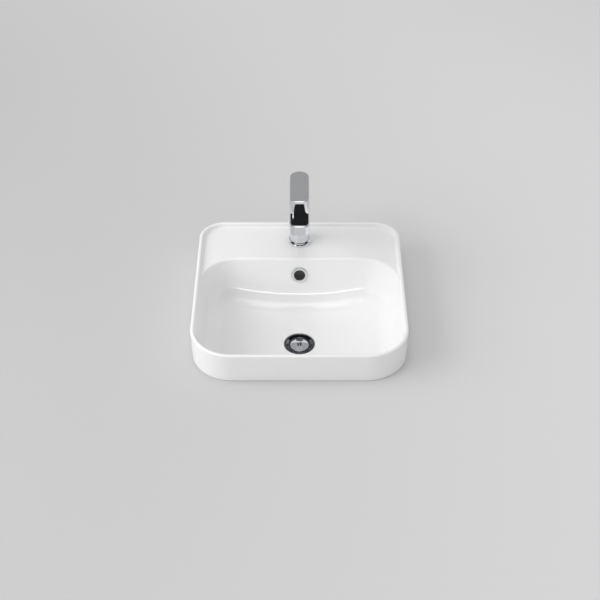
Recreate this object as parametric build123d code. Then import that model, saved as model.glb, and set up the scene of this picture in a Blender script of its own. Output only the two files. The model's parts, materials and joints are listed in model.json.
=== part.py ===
from build123d import *
import math
import os

# Inset basin with a one-hole lever mixer and a push-open waste. Millimetres, +Z up, front towards -Y.
# The origin is the middle of the wall's footprint, level with the benchtop that the wall stands on.
# The bowl, the waste and the tap's fixings hang below that level, through a cut-out in the benchtop.

# Clearances
static_gap = 0.1            # between pieces that are screwed, pushed or clamped together
running_gap = 0.06          # round a shaft or neck that turns or slides in its bearing
moving_gap = 0.2            # between faces of moving pieces that pass each other

# Ceramic casting
basin_width = 440.0
basin_depth = 440.0
wall_height = 68.0          # rim above the benchtop
wall_lean = 0.5             # how far the foot is set in from the rim
front_corner_radius = 86.0
back_corner_radius = 54.0
rim_width = 7.0
rim_round = 3.0
foot_round = 3.0
lip_height = 9.0            # rim above the tap ledge
ledge_depth = 122.0         # outer back face to the bowl's edge
ledge_thickness = 12.0
ledge_round = 5.0
ledge_end_fill = 6.0        # length over which each pointed end of the ledge is filled up
bowl_back_radius = 78.0
bowl_depth = 119.0          # rim to the lowest point of the floor
bowl_draft = 14.0           # degrees from upright
bowl_floor_round = 55.0
floor_dish_radius = 700.0
casting_wall = 8.0
hollow_round = 8.0

# Overflow
overflow_drop = 46.5        # rim to the middle of the hole
overflow_ring_radius = 18.0
overflow_bore_radius = 12.0
overflow_sleeve_wall = 2.2
overflow_sleeve_length = 11.0
overflow_ring_thickness = 2.6
channel_width = 44.0
channel_depth = 14.0
channel_wall = 7.0

# Waste
waste_from_front = 166.0    # outer front face to the middle of the outlet
outlet_depth = 45.0         # floor to the underside of the outlet
outlet_hole_radius = 23.0
outlet_wall = 13.0
waste_flange_radius = 32.0
waste_flange_thickness = 2.0
waste_flange_crown = 1.0
waste_seat_depth = 3.5
waste_seat_gasket_thickness = 1.5
tail_radius = 20.95         # outside of a one and a quarter inch pipe thread
tail_bore_radius = 17.5
tail_length = 90.0          # floor to the end of the tail
tail_free_length = 18.0     # thread left free for the trap
groove_width = 2.0
groove_depth = 0.8
cup_wall = 1.3              # between the cup inside the flange and its cone
cup_depth = 3.3
well_radius = 20.6
well_depth = 6.7
well_seat_depth = 9.7
cone_depth = 8.0            # floor to where the flange has narrowed to the tail
slot_width = 16.0
cone_gasket_thickness = 8.0
cone_gasket_taper = 3.0
clamp_radius = 33.0
slip_washer_thickness = 2.0
backnut_height = 12.0
backnut_flats = 55.0
bridge_depth = 48.0         # floor to the top of the bridge across the tail
bridge_height = 6.0
bridge_rib_width = 3.0
hub_radius = 7.0

# Push-open plug
plug_radius = 19.8
plug_crown = 1.4
plug_edge_thickness = 3.0
plug_edge_drop = 3.0        # edge of the plug below the floor
plug_boss_radius = 15.4
plug_seal_radius = 19.0
plug_seal_thickness = 1.7
plug_seal_ledge = 1.5       # boss below the seal
plug_hub_radius = 6.0
plug_hub_depth = 12.0       # floor to the end of the hub under the plug
plug_travel = 8.0
stem_radius = 4.0
piston_radius = 6.2
piston_height = 3.7
popup_radius = 8.0
popup_wall = 1.5
popup_floor = 3.0
popup_top_depth = 14.0      # floor to the top of the collar
collar_flange = 2.0
collar_spigot = 4.0
popup_stud_radius = 3.0
spring_radius = 4.6
spring_wire = 1.1            # square section
spring_coils = 4

# Tap body
tap_hole_radius = 17.5
tap_from_back = 58.0
column_radius = 21.0
body_height = 137.0         # ledge to the top of the spout
spout_thickness = 22.0
spout_reach = 131.0         # tap's axis to the tip
nose_radius = 12.0
block_edge_round = 2.5
foot_cavity_radius = 17.0
foot_cavity_height = 22.0
waterway_radius = 4.0
base_ring_radius = 26.0
base_ring_height = 8.0
base_ring_band = 4.5
base_ring_top_width = 1.2
base_gasket_thickness = 1.5
base_gasket_width = 2.5

# Inlet block, stud and clamp under the ledge
block_drop = 7.0
hose_port_radius = 4.5      # wall of an M10 fine thread
hose_port_depth = 14.0
port_x = 6.5
port_y = -4.0
inlet_radius = 2.2
stud_y = 10.0
stud_radius = 4.0
stud_engagement = 18.0
stud_drop = 45.0            # ledge to the stud's free end
horseshoe_radius = 25.0
horseshoe_slot = 28.0
horseshoe_gasket_thickness = 3.0
horseshoe_plate_thickness = 2.0
stud_nut_flats = 13.0
stud_nut_height = 12.0

# Cartridge
chamber_depth = 42.0        # top of the tap body to the chamber's floor
chamber_radius = 13.0
gallery_radius = 16.0
gallery_floor_rise = 2.0    # cartridge's foot to the gallery
gallery_roof_drop = 4.0     # gallery's roof below the nut
cartridge_gasket_thickness = 1.0
cartridge_base_height = 6.0
fixed_disc_thickness = 4.0
fixed_disc_radius = 10.6
moving_disc_thickness = 3.5
moving_disc_radius = 9.0
moving_disc_recess = 2.0
moving_disc_recess_radius = 5.0
disc_offset = 1.7           # moving disc behind the axis when the lever is down
disc_travel = 3.4
carrier_height = 6.8
carrier_floor = 0.8
key_width = 2.0
key_length = 8.0
key_height = 1.5
key_x = 6.0
housing_wall = 1.6
neck_radius = 9.0
neck_height = 7.0
turntable_flange_height = 9.5
turntable_flange_radius = 11.0
nut_height = 6.0
nut_thread_radius = 14.0
nut_bore_radius = 10.9
spanner_slot_width = 3.0
spanner_slot_depth = 2.0
ball_radius = 2.5
ball_arm = 9.0              # pivot to the ball's centre
pin_radius = 1.5
spindle_width = 6.0
spindle_thickness = 7.0
spindle_neck_radius = 1.8

# Lever
lever_setback = 41.0        # lever's tip behind the spout's tip
lever_height = 33.4
lever_gap = 0.6
lever_lift_limit = 22.0     # degrees
lever_relief_start = 5.0    # ahead of the axis, where the underside starts to climb
lever_relief_margin = 2.0   # degrees that the underside clears the lever's lift
lever_pocket_radius = 13.5
lever_pocket_depth = 14.0
lever_boss_radius = 8.5
lever_wall = 4.5
lever_core_round = 6.0
spindle_rise = 22.0         # top of the tap body to the spindle's end
set_screw_radius = 2.5
set_screw_length = 10.0
screw_rise = 17.0
screw_plug_radius = 3.2
screw_plug_length = 3.0
screw_plug_recess = 0.4

# Aerator
outlet_setback = 20.0       # spout's tip to the middle of the outlet
aerator_radius = 12.0
aerator_height = 9.7
aerator_wall = 1.4
aerator_recess = 0.3
aerator_insert_height = 7.0
aerator_cell_radius = 1.2
aerator_cell_pitch = 3.4
aerator_seal_thickness = 1.5
aerator_seal_width = 3.8

# Places worked out from the sizes above
half_width = basin_width / 2
front_face = -basin_depth / 2
back_face = basin_depth / 2
ledge_level = wall_height - lip_height
floor_level = wall_height - bowl_depth
draft_slope = math.tan(math.radians(bowl_draft))
draft_cosine = math.cos(math.radians(bowl_draft))
bowl_back = back_face - ledge_depth
overflow_level = wall_height - overflow_drop
tap_y = back_face - tap_from_back
waste_y = front_face + waste_from_front
foot_draft = math.degrees(math.atan(wall_lean / wall_height))
overflow_hole_radius = overflow_bore_radius + overflow_sleeve_wall + static_gap
spout_underside = body_height - spout_thickness
outlet_y = outlet_setback - spout_reach
lever_reach = spout_reach - lever_setback
chamber_floor = body_height - chamber_depth
base_floor = chamber_floor + cartridge_gasket_thickness
disc_floor = base_floor + cartridge_base_height
moving_disc_floor = disc_floor + fixed_disc_thickness
carrier_floor_level = moving_disc_floor + moving_disc_thickness
ball_level = carrier_floor_level + carrier_floor + ball_radius + moving_gap
pivot_level = ball_level + ball_arm
carrier_top = carrier_floor_level + carrier_height
turntable_floor = carrier_top + moving_gap
turntable_shoulder = turntable_floor + turntable_flange_height
neck_top = turntable_shoulder + neck_height
nut_floor = body_height - nut_height
housing_radius = chamber_radius - moving_gap
housing_bore_radius = housing_radius - housing_wall
lever_floor = body_height + lever_gap
lever_top = lever_floor + lever_height
piston_top_depth = popup_top_depth + collar_flange + collar_spigot + plug_travel + moving_gap
popup_end_depth = bridge_depth


def rod(radius, low, high):
    """Upright cylinder between two heights."""
    return Pos(0, 0, low) * Cylinder(radius, high - low, align=(Align.CENTER, Align.CENTER, Align.MIN))


def tube(outer, inner, low, high):
    """Upright ring between two heights."""
    return rod(outer, low, high) - rod(inner, low, high)


def block(x_size, y_size, low, high):
    """Upright rectangular block, centred in X and Y."""
    return Pos(0, 0, (low + high) / 2) * Box(x_size, y_size, high - low)


def turned(points):
    """Solid turned about Z from corner points given as radius and height."""
    return revolve(make_face(Polyline(*[(r, 0, z) for r, z in points], close=True)), axis=Axis.Z)


def side_profile(points, width):
    """Block as wide as asked in X, from corner points given as Y and Z."""
    face = make_face(Polyline(*[(0, y, z) for y, z in points], close=True))
    return extrude(face, amount=width / 2, both=True)


def two_ports(radius, low, high):
    """The pair of upright waterways, hot and cold."""
    return Pos(port_x, port_y) * rod(radius, low, high) + Pos(-port_x, port_y) * rod(radius, low, high)


def above_floor(shape):
    """Move a piece drawn from the bowl's lowest point to its place in the basin."""
    return Pos(0, waste_y, floor_level) * shape


def on_ledge(shape):
    """Move a piece drawn from the ledge on the tap's axis to its place on the basin."""
    return Pos(0, tap_y, ledge_level) * shape


def outline(half, front, back, front_radius, back_radius):
    """Rectangle whose front and back corners have their own radii."""
    face = Pos(0, (front + back) / 2) * Rectangle(2 * half, back - front)
    if front_radius:
        face = fillet(face.vertices().group_by(Axis.Y)[0], front_radius)
    return fillet(face.vertices().group_by(Axis.Y)[-1], back_radius)


def drawn_down(face, top, depth, draft):
    """Draw an outline down from a height, closing in by the draft."""
    return extrude(Pos(0, 0, top) * face, amount=depth, dir=(0, 0, -1), taper=draft)


def back_line(level, offset):
    """Y of the bowl's back wall at a height, moved out square to the wall."""
    return bowl_back - (ledge_level - level) * draft_slope + offset / draft_cosine


def bowl_form(wall, top):
    """The bowl's hollow, or with a wall thickness the outside of its shell, from a height down."""
    inset = rim_width + (wall_height - top) * draft_slope - wall / draft_cosine
    back_radius = bowl_back_radius + (top - ledge_level) * draft_slope + wall
    plan = outline(half_width - inset, front_face + inset, back_line(top, wall),
                   front_corner_radius - inset, back_radius)
    walls = drawn_down(plan, top, top - floor_level + casting_wall + wall, bowl_draft)
    dish = Pos(0, waste_y, floor_level + floor_dish_radius) * Sphere(floor_dish_radius + wall)
    form = walls & dish
    dish_edges = [edge for edge in form.edges() if edge.bounding_box().max.Z < floor_level + bowl_depth / 2
                  and edge.geom_type != GeomType.LINE]
    return fillet(dish_edges, bowl_floor_round + wall)


def ledge_recess():
    """The shallow hollow behind the bowl, from the rim down to the tap ledge."""
    front = bowl_back - bowl_back_radius - rim_width
    plan = outline(half_width - rim_width, front, back_face - rim_width, 0, back_corner_radius - rim_width)
    recess = drawn_down(plan, wall_height, lip_height, bowl_draft)
    low_edges = [edge for edge in recess.edges().group_by(Axis.Z)[0]
                 if edge.bounding_box().max.Y > front + ledge_round]
    return fillet(low_edges, ledge_round)


def under_ledge():
    """The hollow below the ledge, open underneath, where the tap is fixed."""
    side = wall_lean + casting_wall
    front = bowl_back - bowl_back_radius / 2
    plan = outline(half_width - side, front, back_face - side, 0, back_corner_radius - casting_wall)
    hollow = extrude(plan, amount=ledge_level - ledge_thickness)
    return fillet(hollow.edges().group_by(Axis.Z)[-1], hollow_round)


def channel_form(wall, top):
    """The overflow channel behind and under the bowl, as its clear space or with its own wall."""
    reach = casting_wall + channel_depth + wall
    bottom = floor_level - reach
    form = side_profile([(back_line(top, casting_wall / 2), top), (back_line(top, reach), top),
                         (back_line(bottom, reach), bottom), (waste_y, bottom), (waste_y, floor_level)],
                        channel_width + 2 * wall)
    heel = form.edges().filter_by(Axis.X).sort_by(Axis.Z)[:2].sort_by(Axis.Y)[-1]
    return fillet(heel, bowl_floor_round + channel_depth + wall)


def overflow_place():
    """Frame on the bowl's back wall at the overflow, with Z pointing into the bowl."""
    return Plane(origin=(0, back_line(overflow_level, 0), overflow_level), x_dir=(1, 0, 0),
                 z_dir=(0, -draft_cosine, math.sin(math.radians(bowl_draft)))).location


def rounded_rim_edges(casting):
    """Edges along the top of the rim, inside and out."""
    return [edge for edge in casting.edges() if edge.bounding_box().min.Z > wall_height - static_gap]


def bowl_back_edges(casting):
    """Edges where the ledge turns down into the bowl."""
    start = bowl_back - bowl_back_radius - rim_width
    found = []
    for edge in casting.edges():
        box = edge.bounding_box()
        if box.min.Z > ledge_level - static_gap and box.max.Z < wall_height - rim_round / 2 \
                and start - static_gap < box.min.Y and box.max.Y < bowl_back + static_gap:
            found.append(edge)
    return found


def ledge_ends():
    """Fill where the ledge's pointed ends run out to nothing against the side walls."""
    end = bowl_back - bowl_back_radius
    ends = Pos(0, end) * block(basin_width - rim_width, 2 * ledge_end_fill, ledge_level - lip_height / 2,
                               ledge_level + lip_height / 2)
    return ends - bowl_form(0, wall_height)


def basin_body():
    """Glazed casting: wall, rim, ledge, bowl, outlet and overflow channel."""
    shape = drawn_down(outline(half_width, front_face, back_face, front_corner_radius, back_corner_radius),
                       wall_height, wall_height, foot_draft)
    shape = fillet(shape.edges().group_by(Axis.Z)[0], foot_round)
    shape -= under_ledge()
    shell = bowl_form(casting_wall, ledge_level)
    shape += shell
    shape += channel_form(channel_wall, ledge_level - ledge_thickness / 2)
    outlet = rod(outlet_hole_radius + outlet_wall, -outlet_depth, -casting_wall / 2)
    shape += above_floor(fillet(outlet.edges().group_by(Axis.Z)[0], foot_round))
    shape -= bowl_form(0, wall_height) + ledge_recess()
    shape = fillet(rounded_rim_edges(shape), rim_round)
    shape = fillet(bowl_back_edges(shape), ledge_round)
    shape += ledge_ends()
    channel_top = overflow_level + overflow_hole_radius + hollow_round / 2
    shape -= channel_form(0, channel_top) - shell
    seat_radius = waste_flange_radius + 1
    cone_foot = -cone_depth - 1
    cone_radius = outlet_hole_radius - waste_seat_depth - cone_foot
    seat = turned([(0, -outlet_depth - 1), (outlet_hole_radius, -outlet_depth - 1),
                   (outlet_hole_radius, cone_foot), (cone_radius, -waste_seat_depth),
                   (seat_radius, -waste_seat_depth), (seat_radius, waste_seat_depth), (0, waste_seat_depth)])
    shape -= above_floor(seat)
    shape -= overflow_place() * rod(overflow_hole_radius, -casting_wall - channel_depth / 2, casting_wall)
    return shape - on_ledge(rod(tap_hole_radius, -2 * ledge_thickness, ledge_thickness))


def overflow_ring():
    """Chrome ring whose sleeve pushes into the overflow hole."""
    outer = overflow_bore_radius + overflow_sleeve_wall
    ring = turned([(overflow_bore_radius, -overflow_sleeve_length), (outer, -overflow_sleeve_length),
                   (outer, 0), (overflow_ring_radius, 0),
                   (overflow_ring_radius, overflow_ring_thickness),
                   (overflow_bore_radius, overflow_ring_thickness)])
    ring = fillet(ring.edges().group_by(Axis.Z)[-1], overflow_ring_thickness * 0.45)
    return overflow_place() * ring


def waste_body():
    """Dished flange and threaded tail in one, with overflow slots and a bridge for the plug's mechanism."""
    groove_low = -tail_length + tail_free_length
    flange_low = waste_seat_gasket_thickness - waste_seat_depth
    flange_edge = flange_low + waste_flange_thickness
    flange_top = flange_edge + waste_flange_crown
    cone_line = tail_radius + cone_depth
    cup_line = cone_line - cup_wall * math.sqrt(2)
    profile = [(tail_bore_radius, -tail_length), (tail_radius, -tail_length), (tail_radius, groove_low),
               (tail_radius - groove_depth, groove_low), (tail_radius - groove_depth, groove_low + groove_width),
               (tail_radius, groove_low + groove_width), (tail_radius, -cone_depth),
               (cone_line + flange_low, flange_low), (waste_flange_radius, flange_low),
               (waste_flange_radius, flange_edge), (waste_flange_radius - waste_flange_crown, flange_top),
               (cup_line + flange_top, flange_top), (cup_line - cup_depth, -cup_depth),
               (well_radius, -cup_depth), (well_radius, -well_depth), (tail_bore_radius, -well_seat_depth)]
    body = turned(profile)
    slot_low = -casting_wall - channel_depth
    slots = block(slot_width, 3 * tail_radius, slot_low, -cone_depth - 3)
    slots += Rot(0, 0, 90) * slots
    body -= slots - rod(tail_bore_radius / 2, slot_low, 0)
    hub = rod(hub_radius, -bridge_depth - bridge_height, -bridge_depth)
    ribs = block(bridge_rib_width, 2 * tail_bore_radius + 1, -bridge_depth - bridge_height, -bridge_depth)
    for turn in (60, 120):
        ribs += Rot(0, 0, turn) * block(bridge_rib_width, 2 * tail_bore_radius + 1,
                                        -bridge_depth - bridge_height, -bridge_depth)
    body += hub + ribs
    return above_floor(body - rod(popup_stud_radius, -bridge_depth - bridge_height, -bridge_depth))


def waste_seat_gasket():
    """Flat ring between the flange and the ceramic."""
    low = -waste_seat_depth
    inner = outlet_hole_radius + cone_depth + 1 - waste_seat_depth
    return above_floor(tube(waste_flange_radius - 1, inner, low, low + waste_seat_gasket_thickness))


def waste_cone_gasket():
    """Tapered rubber ring under the outlet."""
    top = -outlet_depth
    low = top - cone_gasket_thickness
    return above_floor(turned([(tail_radius + static_gap, low), (clamp_radius - cone_gasket_taper, low),
                               (clamp_radius, top - cone_gasket_taper), (clamp_radius, top),
                               (tail_radius + static_gap, top)]))


def waste_slip_washer():
    """Thin washer that lets the backnut turn without dragging the rubber."""
    top = -outlet_depth - cone_gasket_thickness
    return above_floor(tube(clamp_radius - 1, tail_radius + static_gap, top - slip_washer_thickness, top))


def hexagon_nut(flats, bore_radius, low, high, chamfer_size):
    """Six-sided nut with its corners turned off."""
    nut = extrude(Pos(0, 0, low) * RegularPolygon(flats / 2, 6, major_radius=False), amount=high - low)
    corner = flats / math.sqrt(3)
    turned_blank = rod(corner, low, high)
    turned_blank = chamfer(turned_blank.edges().filter_by(GeomType.CIRCLE), chamfer_size)
    return (nut & turned_blank) - rod(bore_radius, low, high)


def waste_backnut():
    """Brass nut that clamps the waste to the basin."""
    top = -outlet_depth - cone_gasket_thickness - slip_washer_thickness
    return above_floor(hexagon_nut(backnut_flats, tail_radius + static_gap, top - backnut_height, top, 1.5))


def popup_housing():
    """Barrel of the push-open mechanism, standing on the bridge with a stud through its hub."""
    top = -popup_top_depth - collar_flange
    bore = popup_radius - popup_wall
    barrel = rod(popup_radius, -popup_end_depth, top) - rod(bore, -popup_end_depth + popup_floor, top)
    stud = rod(popup_stud_radius - static_gap, -popup_end_depth - bridge_height, -popup_end_depth)
    return above_floor(barrel + stud)


def popup_collar():
    """Screwed collar that guides the stem and keeps its piston in the barrel."""
    top = -popup_top_depth
    shoulder = top - collar_flange
    spigot = popup_radius - popup_wall - static_gap
    collar = rod(popup_radius, shoulder, top) + rod(spigot, shoulder - collar_spigot, shoulder)
    return above_floor(collar - rod(stem_radius + running_gap, shoulder - collar_spigot, top))


def popup_spring():
    """Coil under the piston, which lifts the plug when it is let go."""
    low = -popup_end_depth + popup_floor + spring_wire / 2 + running_gap
    high = -piston_top_depth - piston_height - spring_wire / 2 - running_gap
    height = high - low
    path = Helix(height / spring_coils, height, spring_radius)
    section = Plane(origin=path @ 0, z_dir=path % 0) * Rectangle(spring_wire, spring_wire)
    return above_floor(Pos(0, 0, low) * sweep(section, path=path, is_frenet=True))


def plug_stem():
    """Stem of the plug, with its piston inside the barrel."""
    thread_top = -plug_hub_depth + stud_radius + 2
    stem = rod(stem_radius, -piston_top_depth, -plug_hub_depth)
    stem += rod(stem_radius - static_gap, -plug_hub_depth, thread_top)
    stem += rod(piston_radius, -piston_top_depth - piston_height, -piston_top_depth)
    return above_floor(stem)


def plug_cap():
    """Domed chrome plug that closes the waste."""
    edge_top = -plug_edge_drop
    edge_low = edge_top - plug_edge_thickness
    crown = edge_top + plug_crown
    boss_low = edge_low - plug_seal_thickness - plug_seal_ledge
    dome_radius = (plug_radius ** 2 + plug_crown ** 2) / (2 * plug_crown)
    cap = turned([(0, -plug_hub_depth), (plug_hub_radius, -plug_hub_depth), (plug_hub_radius, boss_low),
                  (plug_boss_radius, boss_low), (plug_boss_radius, edge_low), (plug_radius, edge_low),
                  (plug_radius, crown), (0, crown)])
    cap = cap & Pos(0, 0, crown - dome_radius) * Sphere(dome_radius)
    return above_floor(cap - rod(stem_radius, -plug_hub_depth, -plug_hub_depth + stud_radius + 2))


def plug_seal():
    """Rubber ring round the plug's boss, just clear of the seat."""
    top = -plug_edge_drop - plug_edge_thickness
    ring = tube(plug_seal_radius, plug_boss_radius, top - plug_seal_thickness, top)
    lip = ring.edges().group_by(Axis.Z)[0].sort_by(SortBy.LENGTH)[-1]
    return above_floor(fillet(lip, plug_seal_thickness / 2))


def block_plan(reach):
    """Plan shared by the spout and the lever: round at the back, square with soft corners in front."""
    plan = Circle(column_radius) + Pos(0, -reach / 2) * Rectangle(2 * column_radius, reach)
    return fillet(plan.vertices().group_by(Axis.Y)[0], nose_radius)


def block_form(reach, low, high):
    """Block over that plan with its top edge rounded."""
    form = extrude(Pos(0, 0, low) * block_plan(reach), amount=high - low)
    return fillet(form.edges().group_by(Axis.Z)[-1], block_edge_round)


def tap_body():
    """Column and spout in one casting, bored for the cartridge, the waterways and the aerator."""
    body = rod(column_radius, 0, spout_underside) + block_form(spout_reach, spout_underside, body_height)
    body -= rod(foot_cavity_radius, 0, foot_cavity_height)
    body -= two_ports(inlet_radius, foot_cavity_height, chamber_floor)
    body -= rod(chamber_radius, chamber_floor, body_height)
    body -= rod(gallery_radius, base_floor + gallery_floor_rise, nut_floor - gallery_roof_drop)
    body -= rod(nut_thread_radius, nut_floor, body_height)
    pocket_top = spout_underside + aerator_recess + aerator_height + aerator_seal_thickness
    body -= Pos(0, outlet_y) * rod(aerator_radius, spout_underside, pocket_top)
    waterway_level = body_height - spout_thickness / 2
    waterway_floor = waterway_level - waterway_radius
    waterway_roof = waterway_level + waterway_radius
    body -= Pos(0, outlet_y) * rod(aerator_radius - aerator_seal_width, pocket_top, waterway_roof)
    run = side_profile([(outlet_y, waterway_floor), (0, waterway_floor), (0, waterway_roof),
                        (outlet_y, waterway_roof)], 2 * waterway_radius)
    run = fillet(run.edges().filter_by(Axis.Y), waterway_radius * 0.95)
    return on_ledge(body - run)


def tap_base_ring():
    """Cover ring round the foot of the column."""
    inner = column_radius + static_gap
    top_radius = inner + base_ring_top_width
    bulge = base_ring_band / 9
    middle = ((base_ring_radius + top_radius) / 2 + bulge, 0, (base_ring_band + base_ring_height) / 2 + bulge)
    slope = ThreePointArc((base_ring_radius, 0, base_ring_band), middle, (top_radius, 0, base_ring_height))
    sides = Polyline((top_radius, 0, base_ring_height), (inner, 0, base_ring_height), (inner, 0, 0),
                     (base_ring_radius, 0, 0), (base_ring_radius, 0, base_ring_band))
    ring = revolve(make_face(slope + sides), axis=Axis.Z)
    outer = base_ring_radius - 1
    return on_ledge(ring - tube(outer, outer - base_gasket_width, 0, base_gasket_thickness))


def base_gasket():
    """Seal in the groove under the cover ring."""
    outer = base_ring_radius - 1
    return on_ledge(tube(outer, outer - base_gasket_width, 0, base_gasket_thickness))


def inlet_block():
    """Brass foot inside the column: two hose inlets and the hole of the stud."""
    form = rod(foot_cavity_radius - static_gap, -block_drop, foot_cavity_height)
    form -= two_ports(hose_port_radius, -block_drop, hose_port_depth - block_drop)
    form -= two_ports(inlet_radius, hose_port_depth - block_drop, foot_cavity_height)
    return on_ledge(form - Pos(0, stud_y) * rod(stud_radius, -block_drop, stud_engagement - block_drop))


def mounting_stud():
    """Threaded stud that pulls the tap down onto the ledge."""
    stud = rod(stud_radius - static_gap, -stud_drop, stud_engagement - block_drop)
    return on_ledge(Pos(0, stud_y) * chamfer(stud.edges().group_by(Axis.Z)[0], 1))


def horseshoe(thickness, top):
    """Clamp shape under the ledge, open towards the front so that the hoses pass."""
    plate = rod(horseshoe_radius, top - thickness, top)
    slot_back = port_y + horseshoe_slot / 4
    slot = block(horseshoe_slot, 2 * horseshoe_radius, top - thickness, top)
    slot = Pos(0, slot_back - horseshoe_radius) * slot
    slot = fillet(slot.edges().filter_by(Axis.Z).group_by(Axis.Y)[-1], horseshoe_slot / 4)
    return plate - slot - Pos(0, stud_y) * rod(stud_radius + static_gap, top - thickness, top)


def horseshoe_gasket():
    """Rubber pad between the ceramic and the clamp plate."""
    return on_ledge(horseshoe(horseshoe_gasket_thickness, -ledge_thickness))


def horseshoe_plate():
    """Steel clamp plate."""
    return on_ledge(horseshoe(horseshoe_plate_thickness, -ledge_thickness - horseshoe_gasket_thickness))


def stud_nut():
    """Brass nut on the stud."""
    top = -ledge_thickness - horseshoe_gasket_thickness - horseshoe_plate_thickness
    nut = hexagon_nut(stud_nut_flats, stud_radius, top - stud_nut_height, top, 0.6)
    return on_ledge(Pos(0, stud_y) * nut)


def cartridge_gasket():
    """Rubber disc that seals the cartridge to the chamber's floor."""
    disc = rod(housing_radius, chamber_floor, base_floor)
    return on_ledge(disc - two_ports(inlet_radius, chamber_floor, base_floor))


def cartridge_base():
    """Plastic base with the two inlets and the side way out to the spout."""
    base = rod(housing_radius, base_floor, disc_floor) - two_ports(inlet_radius, base_floor, disc_floor)
    mixed_y = -port_y
    middle = (base_floor + disc_floor) / 2
    base -= Pos(0, mixed_y) * rod(inlet_radius, middle, disc_floor)
    way_out = block(2 * inlet_radius, housing_radius, middle - 1, middle + 1)
    return on_ledge(base - Pos(0, mixed_y + housing_radius / 2) * way_out)


def fixed_disc():
    """Fixed ceramic disc with two inlet holes and one outlet hole."""
    disc = rod(fixed_disc_radius, disc_floor, moving_disc_floor)
    disc -= two_ports(inlet_radius, disc_floor, moving_disc_floor)
    return on_ledge(disc - Pos(0, -port_y) * rod(inlet_radius, disc_floor, moving_disc_floor))


def moving_disc():
    """Sliding ceramic disc with its mixing recess underneath."""
    low = moving_disc_floor
    disc = Pos(0, disc_offset) * rod(moving_disc_radius, low, carrier_floor_level)
    return on_ledge(disc - Pos(0, disc_offset) * rod(moving_disc_recess_radius, low, low + moving_disc_recess))


def disc_carrier():
    """Carrier on the moving disc, with the socket that the spindle's ball pushes."""
    carrier = Pos(0, disc_offset) * rod(moving_disc_radius, carrier_floor_level, carrier_top)
    socket = 2 * (ball_radius + moving_gap * 0.75)
    socket_floor = carrier_floor_level + carrier_floor
    carrier -= block(socket, socket, socket_floor, carrier_top)
    carrier -= block(socket, socket + 3, ball_level + spindle_neck_radius * 0.7, carrier_top)
    key = block(key_width, key_length, carrier_top, carrier_top + key_height)
    return on_ledge(carrier + Pos(key_x, 0) * key + Pos(-key_x, 0) * key)


def cartridge_turntable():
    """Turning sleeve that carries the spindle's pin and steers the disc carrier."""
    sleeve = rod(turntable_flange_radius, turntable_floor, turntable_shoulder)
    sleeve += rod(neck_radius, turntable_shoulder, neck_top)
    tilt = math.radians(lever_lift_limit)
    lean_back = (neck_top - pivot_level) * math.tan(tilt) + moving_gap
    lean_back += spindle_thickness / 2 / math.cos(tilt)
    lean_front = ball_arm * math.sin(tilt) + ball_radius + moving_gap
    opening = block(spindle_width + moving_gap, lean_back + lean_front, turntable_floor, neck_top)
    sleeve -= Pos(0, (lean_back - lean_front) / 2) * opening
    groove_length = key_length + disc_travel + 2 * moving_gap
    groove_top = carrier_top + key_height + moving_gap
    groove = block(key_width + moving_gap, groove_length, turntable_floor, groove_top)
    groove = Pos(0, -disc_travel / 2) * groove
    sleeve -= Pos(key_x, 0) * groove + Pos(-key_x, 0) * groove
    return on_ledge(sleeve - Pos(0, 0, pivot_level) * Rot(0, 90, 0) * Cylinder(pin_radius, 2 * chamber_radius))


def spindle_pin():
    """Steel pin across the turntable, on which the lever tips."""
    length = 2 * (turntable_flange_radius - pin_radius / 2)
    return on_ledge(Pos(0, 0, pivot_level) * Rot(0, 90, 0) * Cylinder(pin_radius, length))


def cartridge_spindle():
    """Steel spindle: square above the pin, with a ball at its lower end."""
    low = pivot_level - spindle_thickness / 2
    shank = block(spindle_width, spindle_thickness, low, body_height + spindle_rise)
    shank = chamfer(shank.edges().group_by(Axis.Z)[-1], 0.5)
    shank = fillet(shank.edges().group_by(Axis.Z)[0].filter_by(Axis.X), spindle_thickness * 0.4)
    shank += rod(spindle_neck_radius, ball_level, low + 1)
    shank += Pos(0, 0, ball_level) * Sphere(ball_radius)
    eye = Pos(0, 0, pivot_level) * Rot(0, 90, 0) * Cylinder(pin_radius + running_gap, 2 * spindle_width)
    return on_ledge(shank - eye)


def cartridge_housing():
    """Plastic housing that holds the discs down and bears the turntable's neck."""
    shell = rod(housing_radius, disc_floor, nut_floor)
    shell -= rod(housing_bore_radius, disc_floor, turntable_shoulder + moving_gap / 2)
    return on_ledge(shell - rod(neck_radius + running_gap, turntable_shoulder, nut_floor))


def cartridge_nut():
    """Brass ring nut that clamps the cartridge, with spanner slots."""
    nut = tube(nut_thread_radius - static_gap, nut_bore_radius, nut_floor, body_height)
    slots = block(2 * nut_thread_radius, spanner_slot_width, body_height - spanner_slot_depth, body_height)
    return on_ledge(nut - slots - Rot(0, 0, 90) * slots)


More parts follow.
